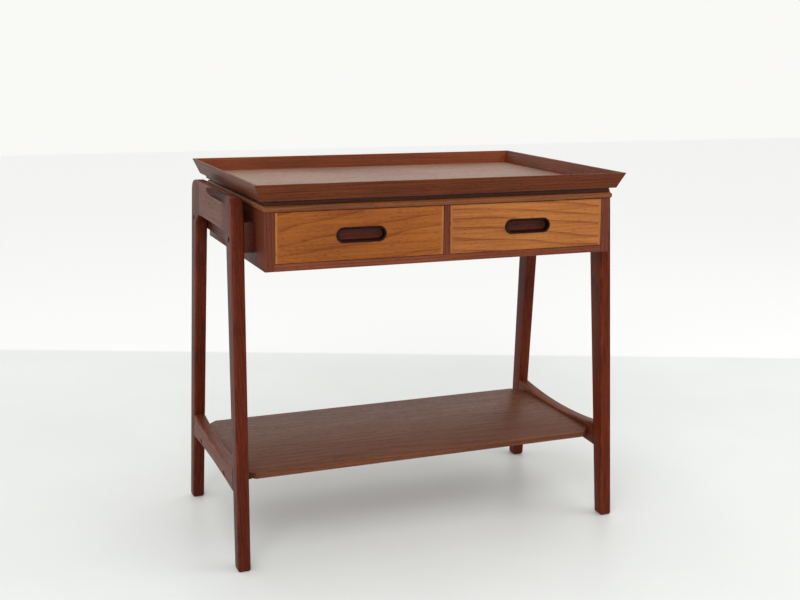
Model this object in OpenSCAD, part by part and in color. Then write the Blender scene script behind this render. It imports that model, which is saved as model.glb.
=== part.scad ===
// Sewing table with a flared tray top, two drawers and a low shelf.
// Units are millimetres. X runs along the table, the drawers open toward -Y, Z is up from the floor.

/* [Overall] */
// Height from the floor to the top edge of the tray rims
table_h = 614; // [560:1:740]
// Length of the tray over the top edges of its rims
tray_w = 640; // [540:1:800]
// Depth of the tray over the top edges of its rims
tray_d = 435; // [390:1:540]

/* [Tray] */
// Height of a rim measured on its outer face, straight up
rim_h = 26; // [18:1:36]
// How far a rim leans outward between its bottom and its top edge
rim_flare = 11.5; // [6:0.5:16]
// Width of the flat top edge of a rim
rim_edge_t = 5; // [3:0.5:7]
// Thickness of a rim just above the tray floor, measured level
rim_root_t = 6.5; // [5:0.5:9]
// Thickness of the veneered tray floor
floor_t = 4; // [3:0.5:8]
// How far the tongue around the tray floor is let into the rims
floor_let_in = 1.5; // [1:0.25:2.5]
// Thickness of the tongue, level with the underside of the floor
tongue_t = 2.5; // [1.5:0.25:3]
// Height of the set-back plinth that carries the tray
plinth_h = 8; // [5:0.5:14]
// Set-back of the plinth from the bottom edge of the rims
plinth_inset = 9; // [5:0.5:14]

/* [Case] */
// Set-back of the case sides from the tray edge
case_inset_side = 20; // [16:0.5:30]
// Set-back of the case front from the tray edge
case_inset_front = 17.5; // [14:0.5:26]
// Set-back of the case back from the tray edge
case_inset_back = 47.5; // [36:0.5:60]
// Clear height of the drawer openings
opening_h = 80; // [64:1:100]
// Thickness of the case top with its rounded edge
case_top_t = 10; // [8:0.5:14]
// How far the case top stands out past the case, all round
case_top_lip = 3; // [2:0.5:5]
// Thickness of a case side
case_side_t = 15; // [12:0.5:18]
// Thickness of the case bottom
case_bottom_t = 11; // [9:0.5:14]
// Thickness of the upright between the drawers
divider_t = 10; // [8:0.5:14]
// Thickness of the case back panel
case_back_t = 6; // [4:0.5:8]

/* [Drawers] */
// Thickness of a drawer front
front_t = 16; // [14:0.5:20]
// Gap between a drawer front and the case around it
front_gap = 0.75; // [0.5:0.05:1.5]
// Thickness of the drawer box sides and back
box_t = 8; // [6:0.5:10]
// Thickness of a drawer bottom
box_bottom_t = 4; // [3:0.5:5]
// How far the box sides stay below the top of the drawer front
box_drop = 14; // [8:1:20]
// Height of the drawer bottom above the lower edge of the box sides
box_bottom_lift = 6; // [4:0.5:8]
// Depth of the grooves that hold a drawer bottom
groove_depth = 4; // [3:0.5:5]
// Room left behind a closed drawer
drawer_tail = 24; // [18:1:60]

/* [Pulls] */
// Length of a sunk finger pull over its lip
pull_w = 83; // [66:1:100]
// Height of a sunk finger pull over its lip
pull_h = 24.5; // [20:0.5:36]
// Width of the lip around the finger pocket
pull_lip = 3.5; // [3:0.5:5]
// How far the lip stands proud of the drawer front
pull_proud = 2; // [1:0.25:3]
// Thickness of the pull behind its finger pocket
pull_back_t = 4; // [3:0.5:6]
// Thickness of the wall around the finger pocket
pull_wall = 1; // [0.75:0.25:2]
// Height of the pull middle above the middle of the drawer front
pull_rise = 0; // [0:0.5:5]

/* [Side frames] */
// Thickness of the legs, head rails and stretchers along the table
frame_t = 20; // [17:0.5:26]
// Gap between a case side and the side frame, filled by the spacer bar
frame_gap = 17.5; // [12:0.5:22]
// Set-back of the foot front edge from the tray edge
foot_inset = 38.5; // [30:0.5:46]
// Depth of a foot on the floor
foot_d = 25; // [20:0.5:30]
// Lean of the outer edge of a leg in degrees
lean_out = 3.5; // [2.5:0.1:4.5]
// Lean of the inner edge of a leg in degrees
lean_in = 5.2; // [4.2:0.1:6]
// Drop of the frame top below the rim bottom edge
head_drop = 2; // [1:0.5:5]
// Height of the head rail
head_h = 57.5; // [46:0.5:69]
// Radius of the rounded top corners of a side frame
head_r = 20; // [12:0.5:26]
// Radius of the curve from the head rail down into a leg
arch_r = 25; // [18:0.5:32]
// Bevel on the lower edges of a foot
foot_bevel = 3; // [1.5:0.5:5]

/* [Finger hollow] */
// Length of the hollow carved in the outer face of each side frame
hollow_len = 148; // [110:1:170]
// Depth of the hollow at its middle
hollow_depth = 10; // [6:0.5:12]
// Radius of the hollow section
hollow_r = 7.5; // [6:0.5:10]
// Distance of the hollow front end from the front of the frame top edge
hollow_front = 22; // [18:1:40]
// Drop of the hollow middle line below the frame top
hollow_drop = 5.5; // [3:0.5:8]

/* [Stretchers] */
// Height of the stretcher top edge above the shelf, at its middle
stretch_over = 4.5; // [2:0.5:10]
// Drop of the stretcher lower edge below the shelf cleat, at its middle; below 0 the cleat shows
stretch_under = 1; // [-1:0.5:9]
// Rise of the arched top edge from the middle to the legs
stretch_rise = 10; // [5:0.5:16]
// Rise of the arched lower edge from the legs to the middle
stretch_arch = 4; // [2:0.5:8]

/* [Shelf] */
// Height of the shelf top above the floor
shelf_z = 144.5; // [115:0.5:175]
// Set-back of the shelf long edges from the tray edge
shelf_inset = 76.5; // [70:0.5:100]
// Thickness of the shelf
shelf_t = 10; // [8:0.5:13]
// Size of the cut shelf corners
shelf_cut = 18; // [12:1:26]
// Gap between a shelf end and the stretcher
shelf_gap = 0.5; // [0.2:0.1:1]
// Width of the cleat under each shelf end
cleat_w = 20; // [14:1:26]
// Height of a shelf cleat
cleat_h = 11; // [10:0.5:12]
// Set-back of the cleat ends from the shelf long edges
cleat_inset = 31; // [20:1:50]

/* [Spacer bars] */
// Height of the spacer bar
spacer_h = 47; // [39:1:56]
// Height of the spacer bar lower edge above the case underside
spacer_lift = 22; // [14:1:26]
// Set-back of the spacer bar ends from the leg edges
spacer_inset = 1; // [0.5:0.25:4]

/* [Screws] */
// Diameter of a screw head
head_d = 9; // [7:0.5:10]
// Thickness of a screw head
screw_head_t = 2.5; // [2:0.25:3]
// Depth of the sinking over a screw head, head included
sink_depth = 5; // [4:0.5:6]
// Diameter of a screw shank
shank_d = 4.5; // [3.5:0.25:5]
// How far a screw reaches into the spacer bar or the cleat
screw_bite = 12; // [8:0.5:12]
// Distance of a shelf screw from the nearer long edge of the shelf
shelf_screw_inset = 57.5; // [45:0.5:70]
// Height of the upper screws above the lower edge of the spacer bar
spacer_screw_lift = 18.8; // [12:0.2:30]

/* [Hidden] */
// Facets of an ordinary round
$fn = 48;
// Facets of the ring that cuts a finger hollow
hollow_fn = 180;
// Facets of the wide arcs along a stretcher
arch_fn = 720;
// Clearance under a drawer box; at its sides it adds to the gap of the front
run_clear = 0.5;
// Clearance above and below a panel in its groove, and at each edge
groove_clear = 0.1;
// Clearance around a screw in its hole
hole_clear = 0.1;
// Clearance around a pull in its drawer front
pull_clear = 0.1;
// Overshoot of cutting tools past the face they open
over = 1;
// Width of a stop block behind a drawer
stop_w = 22;
// Depth of a stop block
stop_d = 12;
// Height of a stop block
stop_h = 14;
// Distance of a stop block from the end of its bay
stop_inset = 50;
// Gap between a closed drawer and its stop blocks
stop_gap = 0.5;
// Width of the slot in a screw head
slot_w = 1.2;
// Depth of the slot in a screw head
slot_depth = 1;
// Radius of the rounded edge of the case top
top_round = 4;

rim_z = table_h - rim_h;
floor_z = rim_z + floor_t;
plinth_z = rim_z - plinth_h;
case_top_z = plinth_z - case_top_t;
open_z = case_top_z - opening_h;
case_z = open_z - case_bottom_t;
case_x = tray_w / 2 - case_inset_side;
case_y0 = -tray_d / 2 + case_inset_front;
case_y1 = tray_d / 2 - case_inset_back;
plinth_x = tray_w / 2 - rim_flare - plinth_inset;
plinth_y = tray_d / 2 - rim_flare - plinth_inset;
// Distance of the rim inner face from the tray edge, level with the floor top
rim_bottom_in = rim_flare * (1 - floor_t / rim_h) + rim_root_t;
floor_x = tray_w / 2 - rim_bottom_in;
floor_y = tray_d / 2 - rim_bottom_in;
tongue_z = rim_z + tongue_t;

bay_w = (2 * case_x - 2 * case_side_t - divider_t) / 2;
bay_x = divider_t / 2 + bay_w / 2;
front_w = bay_w - 2 * front_gap;
front_h = opening_h - 2 * front_gap;
front_z = open_z + front_gap;
box_w = bay_w - 2 * front_gap - 2 * run_clear;
box_y0 = case_y0 + front_t;
box_y1 = case_y1 - case_back_t - drawer_tail;
box_z0 = open_z + run_clear;
box_z1 = front_z + front_h - box_drop;
bottom_z = box_z0 + box_bottom_lift;

pull_z = front_z + front_h / 2 + pull_rise;
pocket_w = pull_w - 2 * pull_lip;
pocket_h = pull_h - 2 * pull_lip;
pull_body_w = pocket_w + 2 * pull_wall;
pull_body_h = pocket_h + 2 * pull_wall;
stop_x = bay_w / 2 - stop_inset;

frame_x0 = case_x + frame_gap;
frame_x1 = frame_x0 + frame_t;
head_z = rim_z - head_drop;
rail_z = head_z - head_h;
foot_y = tray_d / 2 - foot_inset;
arch_z = rail_z - arch_r;
joint_y = leg_in(arch_z) - arch_r / cos(lean_in);
corner_z = head_z - head_r;
corner_y = leg_out(corner_z) - head_r / cos(lean_out);
hollow_y = -(leg_out(head_z) - hollow_front - hollow_len / 2);
hollow_ring = arc_radius(hollow_len / 2, hollow_depth);

cleat_z = shelf_z - shelf_t - cleat_h;
stretch_mid_top = shelf_z + stretch_over;
stretch_end_top = stretch_mid_top + stretch_rise;
stretch_mid_low = cleat_z - stretch_under;
stretch_end_low = stretch_mid_low - stretch_arch;
stretch_top_r = arc_radius(leg_in(stretch_end_top), stretch_rise);
stretch_low_r = arc_radius(leg_in(stretch_end_low), stretch_arch);

shelf_y = tray_d / 2 - shelf_inset;
cleat_y = shelf_y - cleat_inset;
spacer_z = case_z + spacer_lift;
upper_screw_z = spacer_z + spacer_screw_lift;
upper_screw_y = (leg_out(upper_screw_z) + leg_in(upper_screw_z)) / 2;
lower_screw_z = cleat_z + cleat_h / 2;
lower_screw_y = shelf_y - shelf_screw_inset;
screw_len = frame_t - sink_depth + screw_bite;

// Distance of a leg edge from the middle plane at height z
function leg_out(z) = foot_y - tan(lean_out) * z;
function leg_in(z) = foot_y - foot_d - tan(lean_in) * z;
// Radius of an arc from half its chord and its rise
function arc_radius(half, rise) = (half * half + rise * rise) / (2 * rise);

// Outline drawn in Y and Z, given thickness along X from x0 to x1
module side_slab(x0, x1) {
    translate([x0, 0, 0])
        rotate([90, 0, 90])
            linear_extrude(x1 - x0) children();
}

// Outline drawn in X and Z, given thickness along Y from y0 to y1
module front_slab(y0, y1) {
    translate([0, y1, 0])
        rotate([90, 0, 0])
            linear_extrude(y1 - y0) children();
}

// Box from its two corners
module block(a, b) {
    translate(a) cube([b[0] - a[0], b[1] - a[1], b[2] - a[2]]);
}

// Round bar along X
module x_bar(x0, x1, d) {
    translate([x0, 0, 0]) rotate([0, 90, 0]) cylinder(d = d, h = x1 - x0);
}

// Bar along Y with two half-round ends, w long and h high
module lozenge(y0, y1, w, h) {
    translate([0, y1, 0])
        rotate([90, 0, 0])
            union() {
                translate([-(w - h) / 2, -h / 2, 0]) cube([w - h, h, y1 - y0]);
                for (s = [-1, 1])
                    translate([s * (w - h) / 2, 0, 0]) cylinder(d = h, h = y1 - y0);
            }
}

// ---------- tray ----------

// Section of one rim, standing on the -Y side; half is the half depth over the top edges
function rim_pts(half) = [
    [-half + rim_flare, rim_z],
    [-half, table_h],
    [-half + rim_edge_t, table_h],
    [-half + rim_bottom_in, floor_z],
    [-half + rim_bottom_in, tongue_z],
    [-half + rim_bottom_in - floor_let_in, tongue_z],
    [-half + rim_bottom_in - floor_let_in, rim_z]
];

// Keeps only the part of a rim between its two 45 degree mitres
module mitre_keep(half_len, half) {
    reach = rim_bottom_in + over;
    translate([0, 0, rim_z - over])
        linear_extrude(rim_h + 2 * over)
            polygon([
                [-half_len, -half],
                [half_len, -half],
                [half_len - reach, -half + reach],
                [-half_len + reach, -half + reach]
            ]);
}

// One rim on the -Y side, mitred at both ends
module rim(half_len, half) {
    intersection() {
        side_slab(-half_len, half_len) polygon(rim_pts(half));
        mitre_keep(half_len, half);
    }
}

module tray_rim_front() {
    color("#8a4a2a") rim(tray_w / 2, tray_d / 2);
}

module tray_rim_back() {
    color("#8a4a2a") rotate([0, 0, 180]) rim(tray_w / 2, tray_d / 2);
}

module tray_rim_left() {
    color("#7f4427") rotate([0, 0, -90]) rim(tray_d / 2, tray_w / 2);
}

module tray_rim_right() {
    color("#7f4427") rotate([0, 0, 90]) rim(tray_d / 2, tray_w / 2);
}

module tray_floor() {
    tongue_x = floor_x + floor_let_in;
    tongue_y = floor_y + floor_let_in;
    color("#9b6a4e") union() {
        block([-floor_x, -floor_y, rim_z], [floor_x, floor_y, floor_z]);
        block([-tongue_x, -tongue_y, rim_z], [tongue_x, tongue_y, tongue_z]);
    }
}

module tray_plinth() {
    color("#6e4028") block([-plinth_x, -plinth_y, plinth_z], [plinth_x, plinth_y, rim_z]);
}

// ---------- case ----------

// Section of a board from a to b with rounded edges
module board_section(a, b, z0, z1, r) {
    translate([a, z0 + r]) square([b - a, z1 - z0 - 2 * r]);
    translate([a + r, z0]) square([b - a - 2 * r, z1 - z0]);
    for (x = [a + r, b - r], z = [z0 + r, z1 - r])
        translate([x, z]) circle(r = r);
}

module case_top() {
    x = case_x + case_top_lip;
    y0 = case_y0 - case_top_lip;
    y1 = case_y1 + case_top_lip;
    color("#8a5a44") intersection() {
        side_slab(-x, x) board_section(y0, y1, case_top_z, plinth_z, top_round);
        front_slab(y0, y1) board_section(-x, x, case_top_z, plinth_z, top_round);
    }
}

module case_side_left() {
    color("#7a4630") difference() {
        block([-case_x, case_y0, case_z], [-case_x + case_side_t, case_y1, case_top_z]);
        block([-case_x + case_side_t / 2, case_y1 - case_back_t, case_z - over],
              [-case_x + case_side_t + over, case_y1 + over, case_top_z + over]);
    }
}

module case_side_right() {
    color("#7a4630") mirror([1, 0, 0]) case_side_left();
}

module case_bottom() {
    x = case_x - case_side_t;
    color("#7a4a36") block([-x, case_y0, case_z], [x, case_y1 - case_back_t, open_z]);
}

module case_divider() {
    color("#7a4630")
        block([-divider_t / 2, case_y0, open_z], [divider_t / 2, case_y1 - case_back_t, case_top_z]);
}

module case_back() {
    x = case_x - case_side_t / 2;
    color("#6e4028") block([-x, case_y1 - case_back_t, case_z], [x, case_y1, case_top_z]);
}

module drawer_stops() {
    color("#b98a5c")
        for (s = [-1, 1], t = [-1, 1])
            translate([s * bay_x + t * stop_x - stop_w / 2, box_y1 + stop_gap, open_z])
                cube([stop_w, stop_d, stop_h]);
}

// ---------- drawers, each drawn about its own middle and then moved to its bay ----------

module drawer_front(s) {
    translate([s * bay_x, 0, 0])
        difference() {
            block([-front_w / 2, case_y0, front_z], [front_w / 2, box_y0, front_z + front_h]);
            translate([0, 0, pull_z])
                lozenge(case_y0 - over, box_y0 + over,
                        pull_body_w + 2 * pull_clear, pull_body_h + 2 * pull_clear);
            block([-box_w / 2 + box_t - groove_depth, box_y0 - groove_depth, bottom_z - groove_clear],
                  [box_w / 2 - box_t + groove_depth, box_y0 + over, bottom_z + box_bottom_t + groove_clear]);
        }
}

// t is -1 for the side toward -X and 1 for the side toward +X
module drawer_side(s, t) {
    mid_x = t * (box_w - box_t) / 2;
    translate([s * bay_x, 0, 0])
        difference() {
            block([mid_x - box_t / 2, box_y0, box_z0], [mid_x + box_t / 2, box_y1, box_z1]);
            block([-box_w / 2 + box_t - groove_depth, box_y0 - over, bottom_z - groove_clear],
                  [box_w / 2 - box_t + groove_depth, box_y1 + over, bottom_z + box_bottom_t + groove_clear]);
        }
}

module drawer_back(s) {
    translate([s * bay_x, 0, 0])
        block([-box_w / 2 + box_t, box_y1 - box_t, bottom_z + box_bottom_t],
              [box_w / 2 - box_t, box_y1, box_z1]);
}

module drawer_bottom(s) {
    x = box_w / 2 - box_t + groove_depth - groove_clear;
    translate([s * bay_x, 0, 0])
        block([-x, box_y0 - groove_depth + groove_clear, bottom_z], [x, box_y1, bottom_z + box_bottom_t]);
}

module drawer_pull(s) {
    translate([s * bay_x, 0, pull_z])
        difference() {
            union() {
                lozenge(case_y0 - pull_proud, case_y0, pull_w, pull_h);
                lozenge(case_y0, box_y0, pull_body_w, pull_body_h);
            }
            lozenge(case_y0 - pull_proud - over, box_y0 - pull_back_t, pocket_w, pocket_h);
        }
}

module drawer_left_front() { color("#a8642f") drawer_front(-1); }
module drawer_left_side_a() { color("#b98a5c") drawer_side(-1, -1); }
module drawer_left_side_b() { color("#b98a5c") drawer_side(-1, 1); }
module drawer_left_back() { color("#b98a5c") drawer_back(-1); }
module drawer_left_bottom() { color("#c49a6c") drawer_bottom(-1); }
module drawer_left_pull() { color("#5e2d1e") drawer_pull(-1); }
module drawer_right_front() { color("#b4702f") drawer_front(1); }
module drawer_right_side_a() { color("#b98a5c") drawer_side(1, -1); }
module drawer_right_side_b() { color("#b98a5c") drawer_side(1, 1); }
module drawer_right_back() { color("#b98a5c") drawer_back(1); }
module drawer_right_bottom() { color("#c49a6c") drawer_bottom(1); }
module drawer_right_pull() { color("#5e2d1e") drawer_pull(1); }

// ---------- side frames, drawn on the -X side and mirrored for the other ----------

// Outline of the front leg: a tapering leg, a block up to the joint, a curve under it, a rounded top corner
module leg_outline() {
    difference() {
        polygon([
            [-leg_out(0) + foot_bevel, 0],
            [-leg_in(0) - foot_bevel, 0],
            [-leg_in(foot_bevel), foot_bevel],
            [-joint_y - arch_r * cos(lean_in), arch_z + arch_r * sin(lean_in)],
            [-joint_y, arch_z],
            [-joint_y, head_z],
            [-leg_out(head_z), head_z],
            [-leg_out(foot_bevel), foot_bevel]
        ]);
        translate([-joint_y, arch_z]) circle(r = arch_r);
        difference() {
            polygon([
                [-leg_out(head_z) - over, head_z + over],
                [-corner_y, head_z + over],
                [-corner_y, corner_z],
                [-corner_y - head_r * cos(lean_out) - over, corner_z + head_r * sin(lean_out)]
            ]);
            translate([-corner_y, corner_z]) circle(r = head_r);
        }
    }
}

// Long hollow cut in the outer face near its top, open at the top edge
module finger_hollow() {
    round_mid = hollow_ring - hollow_r;
    translate([-frame_x1 - hollow_ring + hollow_depth, hollow_y, head_z - hollow_drop])
        rotate_extrude($fn = hollow_fn)
            union() {
                translate([round_mid, 0]) circle(r = hollow_r);
                translate([round_mid - 2 * hollow_r, -hollow_r]) square(2 * hollow_r);
            }
}

// Stepped hole for one screw, from the outer face of a frame inward
module screw_hole(y, z) {
    translate([0, y, z]) {
        x_bar(-frame_x1 - over, -frame_x1 + sink_depth, head_d + 2 * hole_clear);
        x_bar(-frame_x1, -frame_x0 + screw_bite + over, shank_d + 2 * hole_clear);
    }
}

module front_leg() {
    difference() {
        side_slab(-frame_x1, -frame_x0) leg_outline();
        finger_hollow();
        screw_hole(-upper_screw_y, upper_screw_z);
    }
}

module back_leg() {
    difference() {
        mirror([0, 1, 0]) side_slab(-frame_x1, -frame_x0) leg_outline();
        finger_hollow();
        screw_hole(upper_screw_y, upper_screw_z);
    }
}

module head_rail() {
    difference() {
        block([-frame_x1, -joint_y, rail_z], [-frame_x0, joint_y, head_z]);
        finger_hollow();
    }
}

module stretcher() {
    difference() {
        side_slab(-frame_x1, -frame_x0)
            polygon([
                [-leg_in(stretch_end_low), stretch_end_low],
                [leg_in(stretch_end_low), stretch_end_low],
                [leg_in(stretch_end_top), stretch_end_top],
                [-leg_in(stretch_end_top), stretch_end_top]
            ]);
        translate([0, 0, stretch_mid_top + stretch_top_r])
            x_bar(-frame_x1 - over, -frame_x0 + over, 2 * stretch_top_r, $fn = arch_fn);
        translate([0, 0, stretch_mid_low - stretch_low_r])
            x_bar(-frame_x1 - over, -frame_x0 + over, 2 * stretch_low_r, $fn = arch_fn);
        for (t = [-1, 1])
            screw_hole(t * lower_screw_y, lower_screw_z);
    }
}

module spacer() {
    z1 = spacer_z + spacer_h;
    y0 = leg_out(spacer_z) - spacer_inset;
    y1 = leg_out(z1) - spacer_inset;
    difference() {
        side_slab(-frame_x0, -case_x) polygon([[-y0, spacer_z], [y0, spacer_z], [y1, z1], [-y1, z1]]);
        for (t = [-1, 1])
            screw_hole(t * upper_screw_y, upper_screw_z);
    }
}

module cleat() {
    difference() {
        block([-frame_x0, -cleat_y, cleat_z], [-frame_x0 + cleat_w, cleat_y, cleat_z + cleat_h]);
        for (t = [-1, 1])
            screw_hole(t * lower_screw_y, lower_screw_z);
    }
}

module leg_front_left() { color("#6b2f20") front_leg(); }
module leg_back_left() { color("#6b2f20") back_leg(); }
module head_rail_left() { color("#6b2f20") head_rail(); }
module stretcher_left() { color("#6b2f20") stretcher(); }
module spacer_left() { color("#6b2f20") spacer(); }
module shelf_cleat_left() { color("#6e4028") cleat(); }
module leg_front_right() { color("#6b2f20") mirror([1, 0, 0]) front_leg(); }
module leg_back_right() { color("#6b2f20") mirror([1, 0, 0]) back_leg(); }
module head_rail_right() { color("#6b2f20") mirror([1, 0, 0]) head_rail(); }
module stretcher_right() { color("#6b2f20") mirror([1, 0, 0]) stretcher(); }
module spacer_right() { color("#6b2f20") mirror([1, 0, 0]) spacer(); }
module shelf_cleat_right() { color("#6e4028") mirror([1, 0, 0]) cleat(); }

// One screw: slotted head at the bottom of its sinking, plain shank
module frame_screw(y, z) {
    translate([-frame_x1 + sink_depth, y, z])
        difference() {
            union() {
                x_bar(-screw_head_t, 0, head_d);
                x_bar(0, screw_len, shank_d);
            }
            block([-screw_head_t - over, -slot_w / 2, -head_d],
                  [-screw_head_t + slot_depth, slot_w / 2, head_d]);
        }
}

// The four screws of one side frame
module side_screws() {
    for (t = [-1, 1]) {
        frame_screw(t * upper_screw_y, upper_screw_z);
        frame_screw(t * lower_screw_y, lower_screw_z);
    }
}

module frame_screws() {
    color("#8c7a55") {
        side_screws();
        mirror([1, 0, 0]) side_screws();
    }
}

// ---------- shelf ----------

module shelf() {
    x = frame_x0 - shelf_gap;
    y = shelf_y;
    color("#7c4a38")
        translate([0, 0, shelf_z - shelf_t])
            linear_extrude(shelf_t)
                polygon([
                    [-x + shelf_cut, -y], [x - shelf_cut, -y],
                    [x, -y + shelf_cut], [x, y - shelf_cut],
                    [x - shelf_cut, y], [-x + shelf_cut, y],
                    [-x, y - shelf_cut], [-x, -y + shelf_cut]
                ]);
}

tray_floor();
tray_plinth();
tray_rim_front();
tray_rim_back();
tray_rim_left();
tray_rim_right();
case_top();
case_side_left();
case_side_right();
case_bottom();
case_divider();
case_back();
drawer_stops();
drawer_left_front();
drawer_left_side_a();
drawer_left_side_b();
drawer_left_back();
drawer_left_bottom();
drawer_left_pull();
drawer_right_front();
drawer_right_side_a();
drawer_right_side_b();
drawer_right_back();
drawer_right_bottom();
drawer_right_pull();
leg_front_left();
leg_back_left();
head_rail_left();
stretcher_left();
spacer_left();
shelf_cleat_left();
leg_front_right();
leg_back_right();
head_rail_right();
stretcher_right();
spacer_right();
shelf_cleat_right();
frame_screws();
shelf();
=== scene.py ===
import math
import bmesh
import bpy
from mathutils import Matrix, Vector


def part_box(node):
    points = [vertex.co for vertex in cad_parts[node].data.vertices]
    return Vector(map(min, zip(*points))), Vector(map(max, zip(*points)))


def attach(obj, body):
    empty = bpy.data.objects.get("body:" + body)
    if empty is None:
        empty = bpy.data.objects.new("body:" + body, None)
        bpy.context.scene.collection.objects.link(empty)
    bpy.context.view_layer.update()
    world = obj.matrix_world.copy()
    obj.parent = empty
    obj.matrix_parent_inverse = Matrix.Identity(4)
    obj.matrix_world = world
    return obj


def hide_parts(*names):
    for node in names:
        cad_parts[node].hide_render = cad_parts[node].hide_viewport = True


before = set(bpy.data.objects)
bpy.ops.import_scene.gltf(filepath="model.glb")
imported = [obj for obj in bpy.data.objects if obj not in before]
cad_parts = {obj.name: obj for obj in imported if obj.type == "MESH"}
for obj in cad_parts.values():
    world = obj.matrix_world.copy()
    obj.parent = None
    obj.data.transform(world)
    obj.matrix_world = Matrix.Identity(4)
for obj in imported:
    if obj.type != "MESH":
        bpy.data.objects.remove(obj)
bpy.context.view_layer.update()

scene = bpy.context.scene


# Camera, light and floor.
# The camera stands left of the table's front. A wide soft light hangs in front and to the left and a weaker
# one fills the right. The floor is painted pale grey, and white from a line about a metre behind the table.
camera_data = bpy.data.cameras.new("camera")
camera_data.sensor_width = 36.0
camera_data.lens = 53.151
camera_data.shift_y = -0.1361
camera = bpy.data.objects.new("camera", camera_data)
camera.location = (-0.7683, -1.9007, 0.8221)
camera.rotation_euler = [math.radians(angle) for angle in (82.951, -0.642, -21.906)]
scene.collection.objects.link(camera)
scene.camera = camera
scene.view_settings.view_transform = "Standard"

world = bpy.data.worlds.new("white room")
world.use_nodes = True
world.node_tree.nodes["Background"].inputs["Color"].default_value = (1.0, 0.995, 0.975, 1.0)
world.node_tree.nodes["Background"].inputs["Strength"].default_value = 0.95
scene.world = world


def soft_light(name, place, aim, size, power):
    """Hangs a square soft light at a place and turns it to its aim."""
    data = bpy.data.lights.new(name, "AREA")
    data.size = size
    data.energy = power
    lamp = bpy.data.objects.new(name, data)
    lamp.location = place
    lamp.rotation_euler = (Vector(aim) - Vector(place)).to_track_quat("-Z", "Y").to_euler()
    scene.collection.objects.link(lamp)


soft_light("window light", (-1.5, -2.6, 2.3), (0.0, 0.0, 0.4), 1.9, 42.0)
soft_light("fill light", (2.4, -1.3, 1.7), (0.0, 0.0, 0.4), 1.6, 12.0)


def nodes_of(material):
    """Empties a new material and gives its node tree, its shader and a function that adds a node."""
    material.use_nodes = True
    tree = material.node_tree
    tree.nodes.clear()
    shader = tree.nodes.new("ShaderNodeBsdfPrincipled")
    output = tree.nodes.new("ShaderNodeOutputMaterial")
    tree.links.new(shader.outputs["BSDF"], output.inputs["Surface"])

    def add(kind, **settings):
        """Adds a shader node of a kind and sets its own settings."""
        node = tree.nodes.new("ShaderNode" + kind)
        for name, value in settings.items():
            setattr(node, name, value)
        return node
    return tree, shader, add


floor_half = 7.0
floor_paint = bpy.data.materials.new("painted floor")
tree, shader, add = nodes_of(floor_paint)
place = add("TexCoord")
split = add("SeparateXYZ")
tree.links.new(place.outputs["Object"], split.inputs["Vector"])
wall_turn = math.radians(21.9)
wall_away = 1.03
wall_blend = 0.02
across = add("Math", operation="MULTIPLY")
across.inputs[1].default_value = math.sin(wall_turn)
tree.links.new(split.outputs["X"], across.inputs[0])
away = add("Math", operation="MULTIPLY_ADD")
away.inputs[1].default_value = math.cos(wall_turn)
tree.links.new(split.outputs["Y"], away.inputs[0])
tree.links.new(across.outputs["Value"], away.inputs[2])
line = add("MapRange")
line.inputs["From Min"].default_value = wall_away
line.inputs["From Max"].default_value = wall_away + wall_blend
tree.links.new(away.outputs["Value"], line.inputs["Value"])
mottle = add("TexNoise")
mottle.inputs["Scale"].default_value = 2.2
mottle.inputs["Detail"].default_value = 4.0
tree.links.new(place.outputs["Object"], mottle.inputs["Vector"])
paint = add("ValToRGB")
paint.color_ramp.elements[0].position = 0.3
paint.color_ramp.elements[0].color = (0.76, 0.785, 0.775, 1.0)
paint.color_ramp.elements[1].position = 0.7
paint.color_ramp.elements[1].color = (0.81, 0.83, 0.82, 1.0)
tree.links.new(mottle.outputs["Fac"], paint.inputs["Fac"])
two_tone = add("Mix", data_type="RGBA")
two_tone.inputs[7].default_value = (0.93, 0.94, 0.94, 1.0)
tree.links.new(line.outputs["Result"], two_tone.inputs[0])
tree.links.new(paint.outputs["Color"], two_tone.inputs[6])
tree.links.new(two_tone.outputs[2], shader.inputs["Base Color"])
shader.inputs["Roughness"].default_value = 0.38
shader.inputs["Specular IOR Level"].default_value = 0.2

floor_mesh = bpy.data.meshes.new("floor")
floor_corners = [(x * floor_half, y * floor_half, 0.0) for x, y in ((-1, -1), (1, -1), (1, 1), (-1, 1))]
floor_mesh.from_pydata(floor_corners, [], [(0, 1, 2, 3)])
floor_mesh.materials.append(floor_paint)
floor_object = bpy.data.objects.new("floor", floor_mesh)
scene.collection.objects.link(floor_object)


# Side frames.
# Each end is a frame of solid teak: two leaning legs, a head rail across their tops and an arched
# stretcher low down. The parts are flush with each other and their outer edges are rounded over by hand.
flat_angle = math.radians(0.2)
arris_angle = math.radians(28.0)
same_point = 1e-6
same_plane = 1e-5


def board_mesh(node, ease, steps, number, keep=None):
    """A copy of a CAD piece with its triangles merged into flat faces and its outer edges rounded.

    Each face carries two values: board, which gives the piece its own figure, and wear_and_highlight, which
    is 1 on the rounded edges, where the oil wears off first and where a highlight is painted lighter."""
    work = bmesh.new()
    work.from_mesh(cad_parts[node].data)
    bmesh.ops.remove_doubles(work, verts=work.verts, dist=same_point)
    bmesh.ops.dissolve_limit(work, angle_limit=flat_angle, verts=work.verts, edges=work.edges)
    ease_edges(work, ease, steps, keep)
    return finish_mesh(work, node, number)


def ease_edges(work, ease, steps, keep):
    """Rounds the sharp edges that keep picks, or all of them, and marks the new faces for wear and a painted
    highlight.
    """
    wear_and_highlight = work.faces.layers.float.new("wear_and_highlight")
    picked = []
    for edge in work.edges:
        if not edge.is_manifold or edge.calc_face_angle(0.0) < arris_angle:
            continue
        middle = (edge.verts[0].co + edge.verts[1].co) / 2
        if keep is None or keep(edge, middle):
            picked.append(edge)
    made = bmesh.ops.bevel(work, geom=picked, offset=ease, offset_type="OFFSET", segments=steps,
                           profile=0.5, affect="EDGES", clamp_overlap=False)
    for face in made["faces"]:
        face[wear_and_highlight] = 1.0


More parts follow.
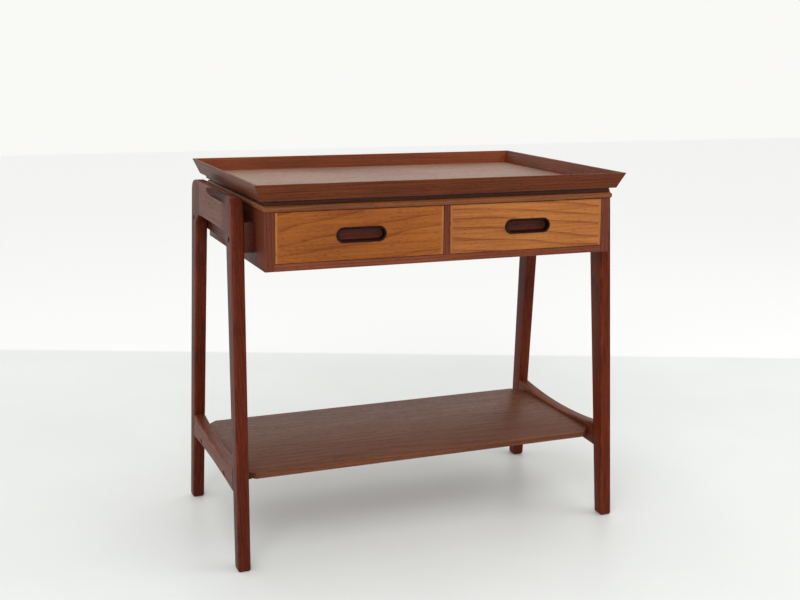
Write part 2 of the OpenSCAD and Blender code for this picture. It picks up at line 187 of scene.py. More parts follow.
def finish_mesh(work, name, number):
    """Turns the worked mesh into mesh data with its board number set and its curved faces smooth."""
    board = work.faces.layers.float.new("board")
    for face in work.faces:
        face[board] = number
        face.smooth = True
    for edge in work.edges:
        edge.smooth = edge.is_manifold and edge.calc_face_angle(0.0) < arris_angle
    mesh = bpy.data.meshes.new(name)
    work.to_mesh(mesh)
    work.free()
    return mesh


def place_piece(name, mesh, materials, body, nodes):
    """Puts a finished mesh in the scene in the place of its CAD nodes."""
    for material in materials:
        mesh.materials.append(material)
    piece = bpy.data.objects.new(name, mesh)
    scene.collection.objects.link(piece)
    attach(piece, body)
    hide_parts(*nodes)
    return piece


wave_step = 0.314
ring_bend = 30.0


def oiled_wood(name, along, early, late, ring, lean_by=(1.0, 2.0), heart=(0.0, 0.0, 0.0), figure=0.22,
               line=2.0, rough=0.44, gloss=0.14):
    """Oiled wood with its grain along X, Y or Z.

    early and late are the colours between and at the growth rings, and ring is the space between rings in
    metres. heart is a point on the middle line of the log, and lean_by is how far that line leans from the
    board in degrees, up and across, which draws the rings out to arches. figure is how strongly the rings
    show, and line is how thin they are."""
    material = bpy.data.materials.new(name)
    tree, shader, add = nodes_of(material)
    link = tree.links.new
    place = add("TexCoord")
    board = add("Attribute", attribute_name="board")
    shift = add("VectorMath", operation="SCALE")
    shift.inputs[0].default_value = (0.731, 0.417, 0.593)
    link(board.outputs["Fac"], shift.inputs["Scale"])
    moved = add("VectorMath", operation="ADD")
    link(place.outputs["Object"], moved.inputs[0])
    link(shift.outputs["Vector"], moved.inputs[1])
    turn = add("Mapping")
    turns = {"X": (0.0, 0.0, 0.0), "Y": (0.0, 0.0, math.radians(90.0)), "Z": (0.0, math.radians(90.0), 0.0)}
    turn.inputs["Rotation"].default_value = turns[along]
    link(moved.outputs["Vector"], turn.inputs["Vector"])

    # slow wander of the grain, long along the board
    long_way = add("VectorMath", operation="MULTIPLY")
    long_way.inputs[1].default_value = (1.6, 9.0, 9.0)
    link(turn.outputs["Vector"], long_way.inputs[0])
    wander = add("TexNoise")
    wander.inputs["Scale"].default_value = 1.0
    wander.inputs["Detail"].default_value = 3.0
    link(long_way.outputs["Vector"], wander.inputs["Vector"])

    # growth rings about the heart of the log
    small_shift = add("VectorMath", operation="SCALE")
    small_shift.inputs["Scale"].default_value = 0.04
    link(shift.outputs["Vector"], small_shift.inputs[0])
    in_log = add("VectorMath", operation="ADD")
    link(place.outputs["Object"], in_log.inputs[0])
    link(small_shift.outputs["Vector"], in_log.inputs[1])
    from_heart = add("VectorMath", operation="SUBTRACT")
    from_heart.inputs[1].default_value = heart
    link(in_log.outputs["Vector"], from_heart.inputs[0])
    log_turn = add("Mapping")
    log_turn.inputs["Rotation"].default_value = turns[along]
    link(from_heart.outputs["Vector"], log_turn.inputs["Vector"])
    lean = add("Mapping")
    lean.inputs["Rotation"].default_value = (0.0, math.radians(lean_by[0]), math.radians(lean_by[1]))
    link(log_turn.outputs["Vector"], lean.inputs["Vector"])
    rings = add("TexWave", wave_type="RINGS", rings_direction="X", wave_profile="SAW")
    rings.inputs["Scale"].default_value = wave_step / ring
    bend = add("Math", operation="MULTIPLY")
    bend.inputs[1].default_value = ring_bend
    link(wander.outputs["Fac"], bend.inputs[0])
    link(bend.outputs["Value"], rings.inputs["Phase Offset"])
    link(lean.outputs["Vector"], rings.inputs["Vector"])
    soft_rings = add("Math", operation="POWER")
    soft_rings.inputs[1].default_value = line
    link(rings.outputs["Fac"], soft_rings.inputs[0])

    # fibres: fine streaks drawn out along the board
    fibre_way = add("VectorMath", operation="MULTIPLY")
    fibre_way.inputs[1].default_value = (7.0, 360.0, 360.0)
    link(turn.outputs["Vector"], fibre_way.inputs[0])
    fibres = add("TexNoise")
    fibres.inputs["Scale"].default_value = 1.0
    fibres.inputs["Detail"].default_value = 3.0
    fibres.inputs["Roughness"].default_value = 0.62
    link(fibre_way.outputs["Vector"], fibres.inputs["Vector"])

    # pores: short dark ticks, a few millimetres long
    pore_way = add("VectorMath", operation="MULTIPLY")
    pore_way.inputs[1].default_value = (90.0, 1400.0, 1400.0)
    link(turn.outputs["Vector"], pore_way.inputs[0])
    pores = add("TexNoise")
    pores.inputs["Scale"].default_value = 1.0
    pores.inputs["Detail"].default_value = 1.0
    link(pore_way.outputs["Vector"], pores.inputs["Vector"])
    ticks = add("MapRange")
    ticks.inputs["From Min"].default_value = 0.60
    ticks.inputs["From Max"].default_value = 0.70
    link(pores.outputs["Fac"], ticks.inputs["Value"])

    # broad patches where the oil and the light have changed the colour
    patch = add("TexNoise")
    patch.inputs["Scale"].default_value = 5.5
    patch.inputs["Detail"].default_value = 2.0
    link(moved.outputs["Vector"], patch.inputs["Vector"])

    # the tone: rings, fibres and patches together
    ring_part = add("Math", operation="MULTIPLY")
    ring_part.inputs[1].default_value = figure
    link(soft_rings.outputs["Value"], ring_part.inputs[0])
    fibre_part = add("Math", operation="MULTIPLY_ADD")
    fibre_part.inputs[1].default_value = 0.8
    link(fibres.outputs["Fac"], fibre_part.inputs[0])
    link(ring_part.outputs["Value"], fibre_part.inputs[2])
    patch_part = add("Math", operation="MULTIPLY_ADD")
    patch_part.inputs[1].default_value = 0.5
    link(patch.outputs["Fac"], patch_part.inputs[0])
    link(fibre_part.outputs["Value"], patch_part.inputs[2])
    tone = add("ValToRGB")
    tone.color_ramp.elements[0].position = 0.45
    tone.color_ramp.elements[0].color = (*early, 1.0)
    tone.color_ramp.elements[1].position = 0.98
    tone.color_ramp.elements[1].color = (*late, 1.0)
    link(patch_part.outputs["Value"], tone.inputs["Fac"])

    dark_ticks = add("Mix", data_type="RGBA", blend_type="MULTIPLY")
    dark_ticks.inputs[7].default_value = (0.50, 0.44, 0.42, 1.0)
    link(ticks.outputs["Result"], dark_ticks.inputs[0])
    link(tone.outputs["Color"], dark_ticks.inputs[6])

    # rounded edges are a little lighter and duller: partly rubbed wear, partly a painted highlight where they
    # catch the light
    wear_and_highlight = add("Attribute", attribute_name="wear_and_highlight")
    rub_and_glint = add("TexNoise")
    rub_and_glint.inputs["Scale"].default_value = 26.0
    rub_and_glint.inputs["Detail"].default_value = 4.0
    link(moved.outputs["Vector"], rub_and_glint.inputs["Vector"])
    rubbed_and_lit = add("MapRange")
    rubbed_and_lit.inputs["From Min"].default_value = 0.42
    rubbed_and_lit.inputs["From Max"].default_value = 0.78
    rubbed_and_lit.inputs["To Max"].default_value = 0.55
    link(rub_and_glint.outputs["Fac"], rubbed_and_lit.inputs["Value"])
    edge = add("Math", operation="MULTIPLY")
    link(wear_and_highlight.outputs["Fac"], edge.inputs[0])
    link(rubbed_and_lit.outputs["Result"], edge.inputs[1])
    edge_mix = add("Mix", data_type="RGBA")
    edge_mix.inputs[7].default_value = (*[c * 1.7 + 0.006 for c in early], 1.0)
    link(edge.outputs["Value"], edge_mix.inputs[0])
    link(dark_ticks.outputs[2], edge_mix.inputs[6])
    link(edge_mix.outputs[2], shader.inputs["Base Color"])

    # finish: satin oil, duller in the pores
    dull = add("Math", operation="MULTIPLY_ADD")
    dull.inputs[1].default_value = 0.22
    dull.inputs[2].default_value = rough - 0.11
    link(fibres.outputs["Fac"], dull.inputs[0])
    duller = add("Math", operation="MULTIPLY_ADD")
    duller.inputs[1].default_value = 0.25
    link(ticks.outputs["Result"], duller.inputs[0])
    link(dull.outputs["Value"], duller.inputs[2])
    link(duller.outputs["Value"], shader.inputs["Roughness"])
    height = add("Math", operation="MULTIPLY_ADD")
    height.inputs[1].default_value = -0.8
    link(ticks.outputs["Result"], height.inputs[0])
    link(fibres.outputs["Fac"], height.inputs[2])
    bump = add("Bump")
    bump.inputs["Strength"].default_value = 0.35
    bump.inputs["Distance"].default_value = 0.00025
    link(height.outputs["Value"], bump.inputs["Height"])
    link(bump.outputs["Normal"], shader.inputs["Normal"])
    shader.inputs["Specular IOR Level"].default_value = gloss
    return material


frame_ring = 0.0045
leg_wood = {
    "left": oiled_wood("left leg teak", "Z", (0.122, 0.0175, 0.0045), (0.041, 0.0050, 0.0016),
                       frame_ring, gloss=0.1),
    "right": oiled_wood("right leg teak", "Z", (0.150, 0.0225, 0.0045), (0.054, 0.0066, 0.0016),
                        frame_ring, gloss=0.1),
}
rail_wood = oiled_wood("rail teak", "Y", (0.170, 0.042, 0.015), (0.062, 0.012, 0.005), frame_ring)
# the hollow's teak is darker than the rail's: painted shade where the carved hollow turns away from the light
hollow_shade_wood = oiled_wood("hollow teak, painted shade", "Y", (0.070, 0.011, 0.0040), (0.026, 0.0040, 0.0016),
                         frame_ring, gloss=0.1)

frame_ease = 0.0034
frame_steps = 4
hollow_length = 0.148
hollow_depth = 0.010
hollow_round = 0.0075
hollow_front = 0.022
hollow_drop = 0.0055
cutter_back = 3 * hollow_round
cutter_reach = 1.3
foot_front = 0.179
lean_out = math.radians(3.5)
arc_steps = 60
round_steps = 14


def hollow_cutter(side, top_z, outer_x):
    """The gouge's path: a round-nosed bar bent to a wide arc, which cuts deepest halfway along."""
    half = hollow_length / 2
    middle_y = half + hollow_front - (foot_front - math.tan(lean_out) * top_z)
    ring = (half * half + hollow_depth * hollow_depth) / (2 * hollow_depth)
    section = []
    for j in range(round_steps + 1):
        angle = math.pi * (j / round_steps - 0.5)
        section.append((ring - hollow_round + hollow_round * math.cos(angle), hollow_round * math.sin(angle)))
    section.append((ring - cutter_back, hollow_round))
    section.append((ring - cutter_back, -hollow_round))
    work = bmesh.new()
    spread = math.asin(half / ring) * cutter_reach
    loops = []
    for i in range(arc_steps + 1):
        turn = -spread + 2 * spread * i / arc_steps
        loop = []
        for reach, rise in section:
            x = side * (outer_x - ring + hollow_depth + reach * math.cos(turn))
            loop.append(work.verts.new((x, middle_y + reach * math.sin(turn), top_z - hollow_drop + rise)))
        loops.append(loop)
    for first, second in zip(loops, loops[1:]):
        for j in range(len(section)):
            k = (j + 1) % len(section)
            work.faces.new((first[j], first[k], second[k], second[j]))
    work.faces.new(loops[0])
    work.faces.new(list(reversed(loops[-1])))
    bmesh.ops.recalc_face_normals(work, faces=work.faces)
    mesh = bpy.data.meshes.new("gouge")
    work.to_mesh(mesh)
    work.free()
    return bpy.data.objects.new("gouge", mesh)


def carve(mesh, cutter, wood):
    """Cuts the gouge's path out of a mesh and gives the carved mesh, with a darker teak painted in the hollow
    as its shade.
    """
    mesh.materials.append(wood)
    cutter.data.materials.append(hollow_shade_wood)
    blank = bpy.data.objects.new("blank", mesh)
    scene.collection.objects.link(blank)
    scene.collection.objects.link(cutter)
    cut = blank.modifiers.new("carve", "BOOLEAN")
    cut.operation = "DIFFERENCE"
    cut.solver = "EXACT"
    cut.material_mode = "TRANSFER"
    cut.object = cutter
    bpy.context.view_layer.update()
    shape = blank.evaluated_get(bpy.context.evaluated_depsgraph_get())
    carved = bpy.data.meshes.new_from_object(shape)
    bpy.data.objects.remove(blank)
    bpy.data.objects.remove(cutter)
    return carved


def frame_edges(low, high, ends):
    """Gives a test that picks a frame part's edges on its two broad faces, but none that ends picks."""
    def keep(edge, middle):
        """Whether this edge is to be rounded."""
        on_face = min(abs(middle.x - low.x), abs(middle.x - high.x)) < same_plane
        return on_face and not any(test(edge, middle) for test in ends)
    return keep


head_low, head_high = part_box("head_rail_left")
joint_y = head_high.y
joint_z = head_low.z
stretch_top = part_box("stretcher_left")[1].z
hole_edge = 0.0012
joint_margin = 0.02
sinking_y = 0.0835
sinking_reach = 0.006


def at_head_joint(edge, middle):
    """The edges of the plane where a leg meets the head rail."""
    return abs(abs(middle.y) - joint_y) < same_plane


def in_screw_hole(edge, middle):
    """The short edges round the screw hole in a leg, which lies between the stretcher and the head rail."""
    return edge.calc_length() < hole_edge and stretch_top < middle.z < joint_z + joint_margin


def at_stretcher_end(edge, middle):
    """The steep edges where a stretcher meets its legs."""
    along = edge.verts[1].co - edge.verts[0].co
    return abs(along.z) > 0.6 * along.length


number = 0.0
for side_name, side in (("left", 1), ("right", -1)):
    for depth_name, flip in (("back", 1), ("front", -1)):
        number += 1.0
        source = "leg_back_" + side_name
        low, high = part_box(source)
        keep = frame_edges(low, high, (at_head_joint, in_screw_hole))
        mesh = board_mesh(source, frame_ease, frame_steps, number, keep)
        node = "leg_" + depth_name + "_" + side_name
        if flip < 0:
            mesh.transform(Matrix.Scale(-1, 4, Vector((0, 1, 0))))
            mesh.flip_normals()
            mesh = carve(mesh, hollow_cutter(side, head_high.z, head_low.x), leg_wood[side_name])
        else:
            mesh.materials.append(leg_wood[side_name])
        place_piece(node + "_shaped", mesh, [], "table", [node])
    number += 1.0
    node = "head_rail_" + side_name
    low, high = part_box(node)
    work = bmesh.new()
    bmesh.ops.create_cube(work, size=1.0)
    for vert in work.verts:
        vert.co = [l + (h - l) * (c + 0.5) for l, h, c in zip(low, high, vert.co)]
    ease_edges(work, frame_ease, frame_steps, frame_edges(low, high, (at_head_joint,)))
    mesh = finish_mesh(work, node, number)
    mesh = carve(mesh, hollow_cutter(side, head_high.z, head_low.x), rail_wood)
    place_piece(node + "_shaped", mesh, [], "table", [node])
    number += 1.0
    node = "stretcher_" + side_name
    low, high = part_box(node)

    def in_sinking(edge, middle):
        """The short edges round the two screw holes in a stretcher."""
        return edge.calc_length() < hole_edge and abs(abs(middle.y) - sinking_y) < sinking_reach
    mesh = board_mesh(node, frame_ease, frame_steps, number,
                      frame_edges(low, high, (at_stretcher_end, in_sinking)))
    place_piece(node + "_shaped", mesh, [rail_wood], "table", [node])


# Spacer bars and shelf cleats.
# A teak bar fills the gap between each side frame and the case, and a smaller one under each end of the
# shelf carries it. Both are oiled like the frames but in a darker teak, painted shade for the shaded gaps
# they sit in, and the screws hold them from outside the frames.
bar_shade_wood = oiled_wood("bar teak, painted shade", "Y", (0.085, 0.018, 0.008), (0.030, 0.006, 0.003), frame_ring)
bar_ease = 0.001
for side_name in ("left", "right"):
    for node in ("spacer_" + side_name, "shelf_cleat_" + side_name):
        number += 1.0
        mesh = board_mesh(node, bar_ease, 2, number)
        place_piece(node + "_bar", mesh, [bar_shade_wood], "table", [node])


# Tray.
# A veneered floor stands on a set-back plinth. Four leaning rims of solid teak, mitred at the corners, take
# the tongue of the floor. The top edges of the rims are thin and painted pale: rubbed wear, and a painted
# highlight on their lit tops.
# the veneer's pale pinkish tone is partly its own colour and partly a painted sheen, the white room's
# reflection at a low angle
tray_veneer_and_sheen = oiled_wood("tray veneer with painted sheen", "X", (0.335, 0.190, 0.128), (0.180, 0.092, 0.060), 0.009,
                         (0.5, 4.0), (0.1, 0.05, 0.50), figure=0.26, line=3.0, rough=0.40, gloss=0.22)
# painted light: the rims share one teak, but the back rim, whose inner face turns to the lamps, is painted
# lightest and the right one a little lighter
rim_light_and_shade = {"front": 1.0, "back": 1.4, "left": 1.0, "right": 1.1}
# the plinth's teak is painted dark as shade, for it sits back under the overhang of the rims
plinth_shade_wood = oiled_wood("plinth teak, painted shade", "X", (0.080, 0.022, 0.010), (0.030, 0.008, 0.004), 0.005)
rim_ease = 0.0005
number += 1.0
mesh = board_mesh("tray_floor", rim_ease, 1, number, lambda edge, middle: False)
place_piece("tray_floor_veneered", mesh, [tray_veneer_and_sheen], "table", ["tray_floor"])
mesh = board_mesh("tray_plinth", rim_ease, 1, number)
place_piece("tray_plinth_frame", mesh, [plinth_shade_wood], "table", ["tray_plinth"])
rim_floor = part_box("tray_floor")[1].z
floor_margin = 0.002
long_edge = 0.3
level_edge = 0.001
rubbed_and_lit_depth = 0.001


def along_rim(edge, middle):
    """The long level edges of a rim that lie above the tray's floor."""
    run = edge.verts[1].co - edge.verts[0].co
    is_long = max(abs(run.x), abs(run.y)) > long_edge
    return abs(run.z) < level_edge and is_long and middle.z > rim_floor + floor_margin


for rim_name, direction in (("front", "X"), ("back", "X"), ("left", "Y"), ("right", "Y")):
    number += 1.0
    node = "tray_rim_" + rim_name
    # each rim's teak is scaled by its painted light
    tone = rim_light_and_shade[rim_name]
    rim_wood = oiled_wood(rim_name + " rim teak", direction, [tone * c for c in (0.150, 0.035, 0.008)],
                          [tone * c for c in (0.062, 0.011, 0.003)], 0.005)
    mesh = board_mesh(node, rim_ease, 2, number, along_rim)
    rim_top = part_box(node)[1].z
    # the faces along each rim's top are painted paler: rubbed wear and a painted highlight where the lit top
    # catches the light
    for face, rubbed_and_lit in zip(mesh.polygons, mesh.attributes["wear_and_highlight"].data):
        if face.center.z > rim_top - rubbed_and_lit_depth:
            rubbed_and_lit.value = 1.0
    place_piece(node + "_mitred", mesh, [rim_wood], "table", [node])


# Case.
# A low box of teak, glued together: a top with a rounded edge, a bottom, two sides, an upright between the
# drawers and a thin back. Its grain runs along the top and bottom and up the sides and the upright.
case_ring = 0.005
case_top_wood = oiled_wood("case top teak", "X", (0.240, 0.082, 0.026), (0.105, 0.029, 0.009), case_ring)
case_bottom_wood = oiled_wood("case bottom teak", "X", (0.205, 0.054, 0.024), (0.090, 0.020, 0.009),
                              case_ring)
case_side_wood = oiled_wood("case side teak", "Z", (0.165, 0.040, 0.018), (0.072, 0.015, 0.007), case_ring)
case_ease = 0.0006
case_woods = {"case_top": case_top_wood, "case_bottom": case_bottom_wood,
              "case_side_left": case_side_wood, "case_side_right": case_side_wood,
              "case_divider": case_side_wood, "case_back": case_bottom_wood}
for node, wood in case_woods.items():
    number += 1.0
    mesh = board_mesh(node, case_ease, 1, number)
    place_piece(node + "_board", mesh, [wood], "table", [node])


# Drawers.
# Each has a thick teak front with narrow upright strips at its ends, a plain box of pale wood whose sides
# are grooved for a thin bottom, and a sunk finger pull of dark wood set into the front with a raised lip.
# Small stop blocks in the case keep the drawers from going in too far.
front_wood = {
    "left": oiled_wood("left drawer teak", "X", (0.325, 0.100, 0.016), (0.170, 0.040, 0.006), 0.015,
                       (4.5, 1.0), (0.0, -0.12, 1.40), figure=0.30, line=6.0),
    "right": oiled_wood("right drawer teak", "X", (0.420, 0.150, 0.035), (0.205, 0.056, 0.012), 0.010,
                        (10.0, 13.0), (0.27, -0.178, 0.520), figure=0.42, line=5.0),
}
drawer_ring = 0.004
strip_wood = oiled_wood("drawer edge teak", "Z", (0.400, 0.150, 0.042), (0.220, 0.070, 0.018), drawer_ring)
box_wood = {}
for direction in "XY":
    box_wood[direction] = oiled_wood("drawer box wood, grain " + direction, direction,
                                     (0.560, 0.370, 0.210), (0.380, 0.220, 0.110), drawer_ring,
                                     rough=0.58)
pull_wood = oiled_wood("pull lip wood", "X", (0.012, 0.0022, 0.0010), (0.006, 0.0012, 0.0006), drawer_ring,
                       rough=0.34, gloss=0.09)
pocket_wood = oiled_wood("pull pocket wood", "X", (0.110, 0.022, 0.012), (0.050, 0.009, 0.005),
                         drawer_ring)
strip_width = 0.0042
front_ease = 0.0007
front_edge = 0.06
box_ease = 0.0004
box_edge = 0.03
stop_ease = 0.0005
pull_steps = 16
pull_lip = 0.0035
pull_wall = 0.001
pull_proud = 0.002
pull_back = 0.004
pocket_start = 0.004
pocket_end = 0.001


def pull_loop(work, middle, half_w, half_h, y):
    """One round of a shape with straight sides and half-round ends, at the depth y."""
    loop = []
    straight = half_w - half_h
    for end in (1, -1):
        for i in range(pull_steps + 1):
            angle = math.pi * (i / pull_steps - 0.5)
            x = end * (straight + half_h * math.cos(angle))
            loop.append(work.verts.new((middle.x + x, y, middle.z + end * half_h * math.sin(angle))))
    return loop


def pull_mesh(node, number):
    """The pull as one carved piece: pocket floor, hollow corner, walls, rounded lip, body and back."""
    low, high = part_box(node)
    middle = (low + high) / 2
    half_w = (high.x - low.x) / 2
    half_h = (high.z - low.z) / 2
    front = low.y + pull_proud
    floor_y = high.y - pull_back
    # each step is an inset from the outline, a depth, and 1 where the lip is painted lighter, as rubbed wear
    # and a painted highlight
    steps = [(pull_lip + 0.0025, floor_y, 0), (pull_lip + 0.0010, floor_y - 0.0005, 0),
             (pull_lip + 0.0002, floor_y - 0.0018, 0), (pull_lip, floor_y - 0.004, 0),
             (pull_lip, low.y + 0.0020, 0), (pull_lip - 0.0003, low.y + 0.0010, 1),
             (pull_lip - 0.0010, low.y + 0.0003, 1), (pull_lip / 2, low.y, 1),
             (0.0010, low.y + 0.0002, 1), (0.0003, low.y + 0.0008, 1), (0.0, low.y + 0.0014, 1),
             (0.0, front, 0), (pull_lip - pull_wall, front, 0), (pull_lip - pull_wall, high.y, 0)]
    work = bmesh.new()
    wear_and_highlight = work.faces.layers.float.new("wear_and_highlight")
    loops = [pull_loop(work, middle, half_w - inset, half_h - inset, y) for inset, y, rubbed_and_lit in steps]
    for (first, second), step in zip(zip(loops, loops[1:]), steps[1:]):
        for j in range(len(first)):
            k = (j + 1) % len(first)
            face = work.faces.new((first[j], first[k], second[k], second[j]))
            face[wear_and_highlight] = float(step[2])
            face.material_index = int(low.y + pocket_start < step[1] < floor_y + pocket_end)
    work.faces.new(loops[0]).material_index = 1
    work.faces.new(loops[-1])
    bmesh.ops.recalc_face_normals(work, faces=work.faces)
    return finish_mesh(work, node, number)


for side_name in ("left", "right"):
    body = "drawer_" + side_name
    number += 1.0
    node = body + "_front"
    low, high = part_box(node)

    def round_front(edge, middle):
        """The four outer edges of the drawer front's face, but none round the pull."""
        from_outline = min(abs(middle.x - low.x), abs(middle.x - high.x),
                           abs(middle.z - low.z), abs(middle.z - high.z))
        on_face = abs(middle.y - low.y) < same_plane
        return on_face and from_outline < same_plane and edge.calc_length() > front_edge
    mesh = board_mesh(node, front_ease, 2, number, round_front)
    work = bmesh.new()
    work.from_mesh(mesh)
    for cut_x in (low.x + strip_width, high.x - strip_width):
        everything = work.verts[:] + work.edges[:] + work.faces[:]
        bmesh.ops.bisect_plane(work, geom=everything, plane_co=(cut_x, 0, 0), plane_no=(1, 0, 0))
    work.to_mesh(mesh)
    work.free()
    piece = place_piece(node + "_lipped", mesh, [front_wood[side_name], strip_wood], body,
                        [node])
    for polygon in piece.data.polygons:
        x = polygon.center.x
        polygon.material_index = int(x < low.x + strip_width or x > high.x - strip_width)
    node = body + "_pull"
    number += 1.0
    place_piece(node + "_carved", pull_mesh(node, number), [pull_wood, pocket_wood], body,
                [node])
    for part, direction in (("side_a", "Y"), ("side_b", "Y"), ("back", "X"), ("bottom", "X")):
        number += 1.0
        node = body + "_" + part
        mesh = board_mesh(node, box_ease, 1, number, lambda edge, middle: edge.calc_length() > box_edge)
        place_piece(node + "_board", mesh, [box_wood[direction]], body, [node])
mesh = board_mesh("drawer_stops", stop_ease, 1, number)
place_piece("drawer_stops_blocks", mesh, [box_wood["X"]], "table", ["drawer_stops"])


# Shelf.
# A veneered panel with its four corners cut off and its edges slightly rounded. It lies on the cleats
# between the stretchers, with its grain along its length and a satin finish.
shelf_veneer = oiled_wood("shelf veneer", "X", (0.172, 0.064, 0.033), (0.092, 0.031, 0.015), 0.009,
                          (0.5, 4.0), (-0.1, 0.0, 0.09), figure=0.22, line=3.0, rough=0.42,
                          gloss=0.09)
shelf_ease = 0.0008
number += 1.0
mesh = board_mesh("shelf", shelf_ease, 2, number)
place_piece("shelf_panel", mesh, [shelf_veneer], "table", ["shelf"])


# Screws.
# Eight brass wood screws with slotted heads, dulled to brown, each at the bottom of its sinking: two hold
# each frame to its spacer bar and two hold each stretcher to its cleat. Their slots stand at odd angles.
screw_metal = bpy.data.materials.new("dulled brass")
tree, shader, add = nodes_of(screw_metal)
place = add("TexCoord")
stain = add("TexNoise")
stain.inputs["Scale"].default_value = 900.0
stain.inputs["Detail"].default_value = 4.0
tree.links.new(place.outputs["Object"], stain.inputs["Vector"])
brown = add("ValToRGB")
brown.color_ramp.elements[0].position = 0.35
brown.color_ramp.elements[0].color = (0.022, 0.012, 0.008, 1.0)
brown.color_ramp.elements[1].position = 0.68
brown.color_ramp.elements[1].color = (0.075, 0.048, 0.032, 1.0)
tree.links.new(stain.outputs["Fac"], brown.inputs["Fac"])
tree.links.new(brown.outputs["Color"], shader.inputs["Base Color"])
dull = add("MapRange")
dull.inputs["To Min"].default_value = 0.35
dull.inputs["To Max"].default_value = 0.65
tree.links.new(stain.outputs["Fac"], dull.inputs["Value"])
tree.links.new(dull.outputs["Result"], shader.inputs["Roughness"])
shader.inputs["Metallic"].default_value = 0.8
pits = add("Bump")
pits.inputs["Strength"].default_value = 0.3
pits.inputs["Distance"].default_value = 0.0001
tree.links.new(stain.outputs["Fac"], pits.inputs["Height"])
tree.links.new(pits.outputs["Normal"], shader.inputs["Normal"])

head_thick = 0.0025
slot_over = 1.2
slot_seed = 7
screw_sizes = {"Head width": 0.009, "Head edge": 0.0004, "Shank width": 0.0045, "Slot width": 0.0012,
               "Slot depth": 0.0012, "Screw length": 0.0295}
seats = bmesh.new()
seats.from_mesh(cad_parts["frame_screws"].data)
bmesh.ops.remove_doubles(seats, verts=seats.verts, dist=same_point)
seat_points = []
unseen = set(seats.verts)
while unseen:
    found = {unseen.pop()}
    newest = set(found)
    while newest:
        newest = {edge.other_vert(vert) for vert in newest for edge in vert.link_edges} - found
        found |= newest
    unseen -= found
    lows = [min(vert.co[i] for vert in found) for i in range(3)]
    highs = [max(vert.co[i] for vert in found) for i in range(3)]
    outer = lows[0] if lows[0] < 0 else highs[0]
    seat_points.append((outer, (lows[1] + highs[1]) / 2, (lows[2] + highs[2]) / 2))
seats.free()

tree = bpy.data.node_groups.new("slotted screws", "GeometryNodeTree")
tree.interface.new_socket("Geometry", in_out="INPUT", socket_type="NodeSocketGeometry")
tree.interface.new_socket("Geometry", in_out="OUTPUT", socket_type="NodeSocketGeometry")
sockets = {}
for label in screw_sizes:
    sockets[label] = tree.interface.new_socket(label, in_out="INPUT", socket_type="NodeSocketFloat")
sockets["Seed"] = tree.interface.new_socket("Seed", in_out="INPUT", socket_type="NodeSocketInt")
given = tree.nodes.new("NodeGroupInput")
result = tree.nodes.new("NodeGroupOutput")
link = tree.links.new


def number_node(operation, first, second):
    """A sum on two numbers or outputs in the screw tree."""
    node = tree.nodes.new("ShaderNodeMath")
    node.operation = operation
    for socket, value in zip(node.inputs, (first, second)):
        if isinstance(value, float):
            socket.default_value = value
        else:
            link(value, socket)
    return node.outputs[0]


def point_node(x=None, y=None, z=None):
    """A point from up to three outputs in the screw tree."""
    node = tree.nodes.new("ShaderNodeCombineXYZ")
    for socket, value in zip(node.inputs, (x, y, z)):
        if value is not None:
            link(value, socket)
    return node.outputs[0]


def moved_node(geometry, offset):
    """Geometry moved by an offset in the screw tree."""
    node = tree.nodes.new("GeometryNodeTransform")
    link(geometry, node.inputs["Geometry"])
    link(offset, node.inputs["Translation"])
    return node.outputs["Geometry"]


head_radius = number_node("MULTIPLY", given.outputs["Head width"], 0.5)
top_radius = number_node("SUBTRACT", head_radius, given.outputs["Head edge"])
shank_radius = number_node("MULTIPLY", given.outputs["Shank width"], 0.5)
shank_length = number_node("SUBTRACT", given.outputs["Screw length"], head_thick)
head = tree.nodes.new("GeometryNodeMeshCone")
head.inputs["Vertices"].default_value = 40
head.inputs["Depth"].default_value = head_thick
link(head_radius, head.inputs["Radius Top"])
link(top_radius, head.inputs["Radius Bottom"])
slot_cut = tree.nodes.new("GeometryNodeMeshCube")
slot_reach = number_node("MULTIPLY", given.outputs["Head width"], slot_over)
slot_height = number_node("MULTIPLY", given.outputs["Slot depth"], 2.0)
link(point_node(slot_reach, given.outputs["Slot width"], slot_height), slot_cut.inputs["Size"])
slotted = tree.nodes.new("GeometryNodeMeshBoolean")
slotted.operation = "DIFFERENCE"
link(head.outputs["Mesh"], slotted.inputs["Mesh 1"])
link(slot_cut.outputs["Mesh"], slotted.inputs["Mesh 2"])
shank = tree.nodes.new("GeometryNodeMeshCylinder")
shank.inputs["Vertices"].default_value = 24
link(shank_radius, shank.inputs["Radius"])
link(shank_length, shank.inputs["Depth"])
half_shank = number_node("MULTIPLY", shank_length, 0.5)
shank_middle = number_node("ADD", half_shank, head_thick)
screw = tree.nodes.new("GeometryNodeJoinGeometry")
link(slotted.outputs["Mesh"], screw.inputs[0])
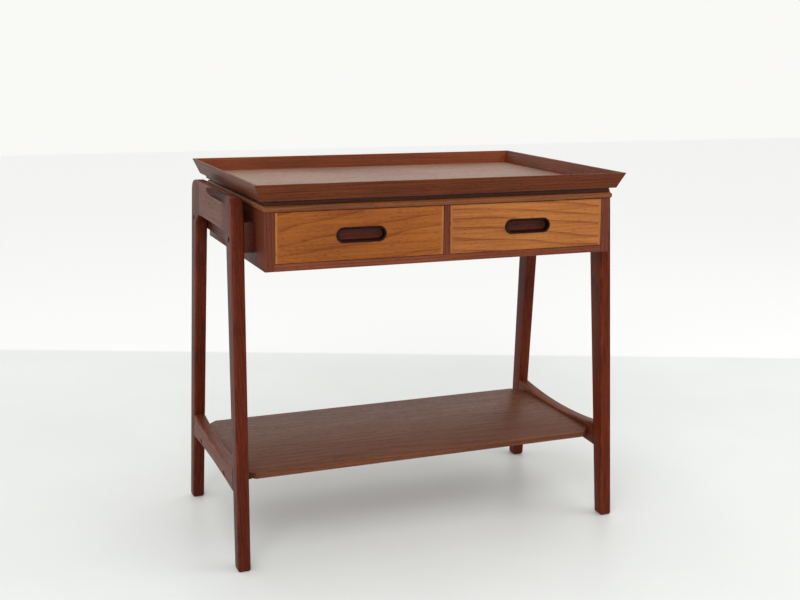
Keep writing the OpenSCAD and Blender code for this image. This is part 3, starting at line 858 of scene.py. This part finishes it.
link(moved_node(shank.outputs["Mesh"], point_node(z=shank_middle)), screw.inputs[0])
spots = tree.nodes.new("GeometryNodeInstanceOnPoints")
link(given.outputs["Geometry"], spots.inputs["Points"])
link(screw.outputs[0], spots.inputs["Instance"])
spin = tree.nodes.new("FunctionNodeRandomValue")
spin.inputs[3].default_value = math.pi
link(given.outputs["Seed"], spin.inputs["Seed"])
seat = tree.nodes.new("GeometryNodeInputPosition")
seat_parts = tree.nodes.new("ShaderNodeSeparateXYZ")
link(seat.outputs[0], seat_parts.inputs[0])
inward = number_node("SIGN", seat_parts.outputs[0], 0.0)
lay_down = number_node("MULTIPLY", inward, -math.pi / 2)
turned = tree.nodes.new("GeometryNodeRotateInstances")
link(spots.outputs["Instances"], turned.inputs["Instances"])
link(point_node(y=lay_down), turned.inputs["Rotation"])
slot_turn = tree.nodes.new("GeometryNodeRotateInstances")
slot_turn.inputs["Local Space"].default_value = True
link(turned.outputs["Instances"], slot_turn.inputs["Instances"])
link(point_node(z=spin.outputs[1]), slot_turn.inputs["Rotation"])
solid = tree.nodes.new("GeometryNodeRealizeInstances")
link(slot_turn.outputs["Instances"], solid.inputs["Geometry"])
finish = tree.nodes.new("GeometryNodeSetMaterial")
finish.inputs["Material"].default_value = screw_metal
link(solid.outputs["Geometry"], finish.inputs["Geometry"])
link(finish.outputs["Geometry"], result.inputs[0])

points = bpy.data.meshes.new("screw seats")
points.from_pydata(sorted(seat_points), [], [])
seat_object = bpy.data.objects.new("screw_seats", points)
scene.collection.objects.link(seat_object)
drive = seat_object.modifiers.new("screws", "NODES")
drive.node_group = tree
for label, size in screw_sizes.items():
    drive[sockets[label].identifier] = size
drive[sockets["Seed"].identifier] = slot_seed
bpy.context.view_layer.update()
shape = seat_object.evaluated_get(bpy.context.evaluated_depsgraph_get())
screw_mesh = bpy.data.meshes.new_from_object(shape)
bpy.data.objects.remove(seat_object)
screws = bpy.data.objects.new("frame_screws_slotted", screw_mesh)
scene.collection.objects.link(screws)
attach(screws, "table")
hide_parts("frame_screws")
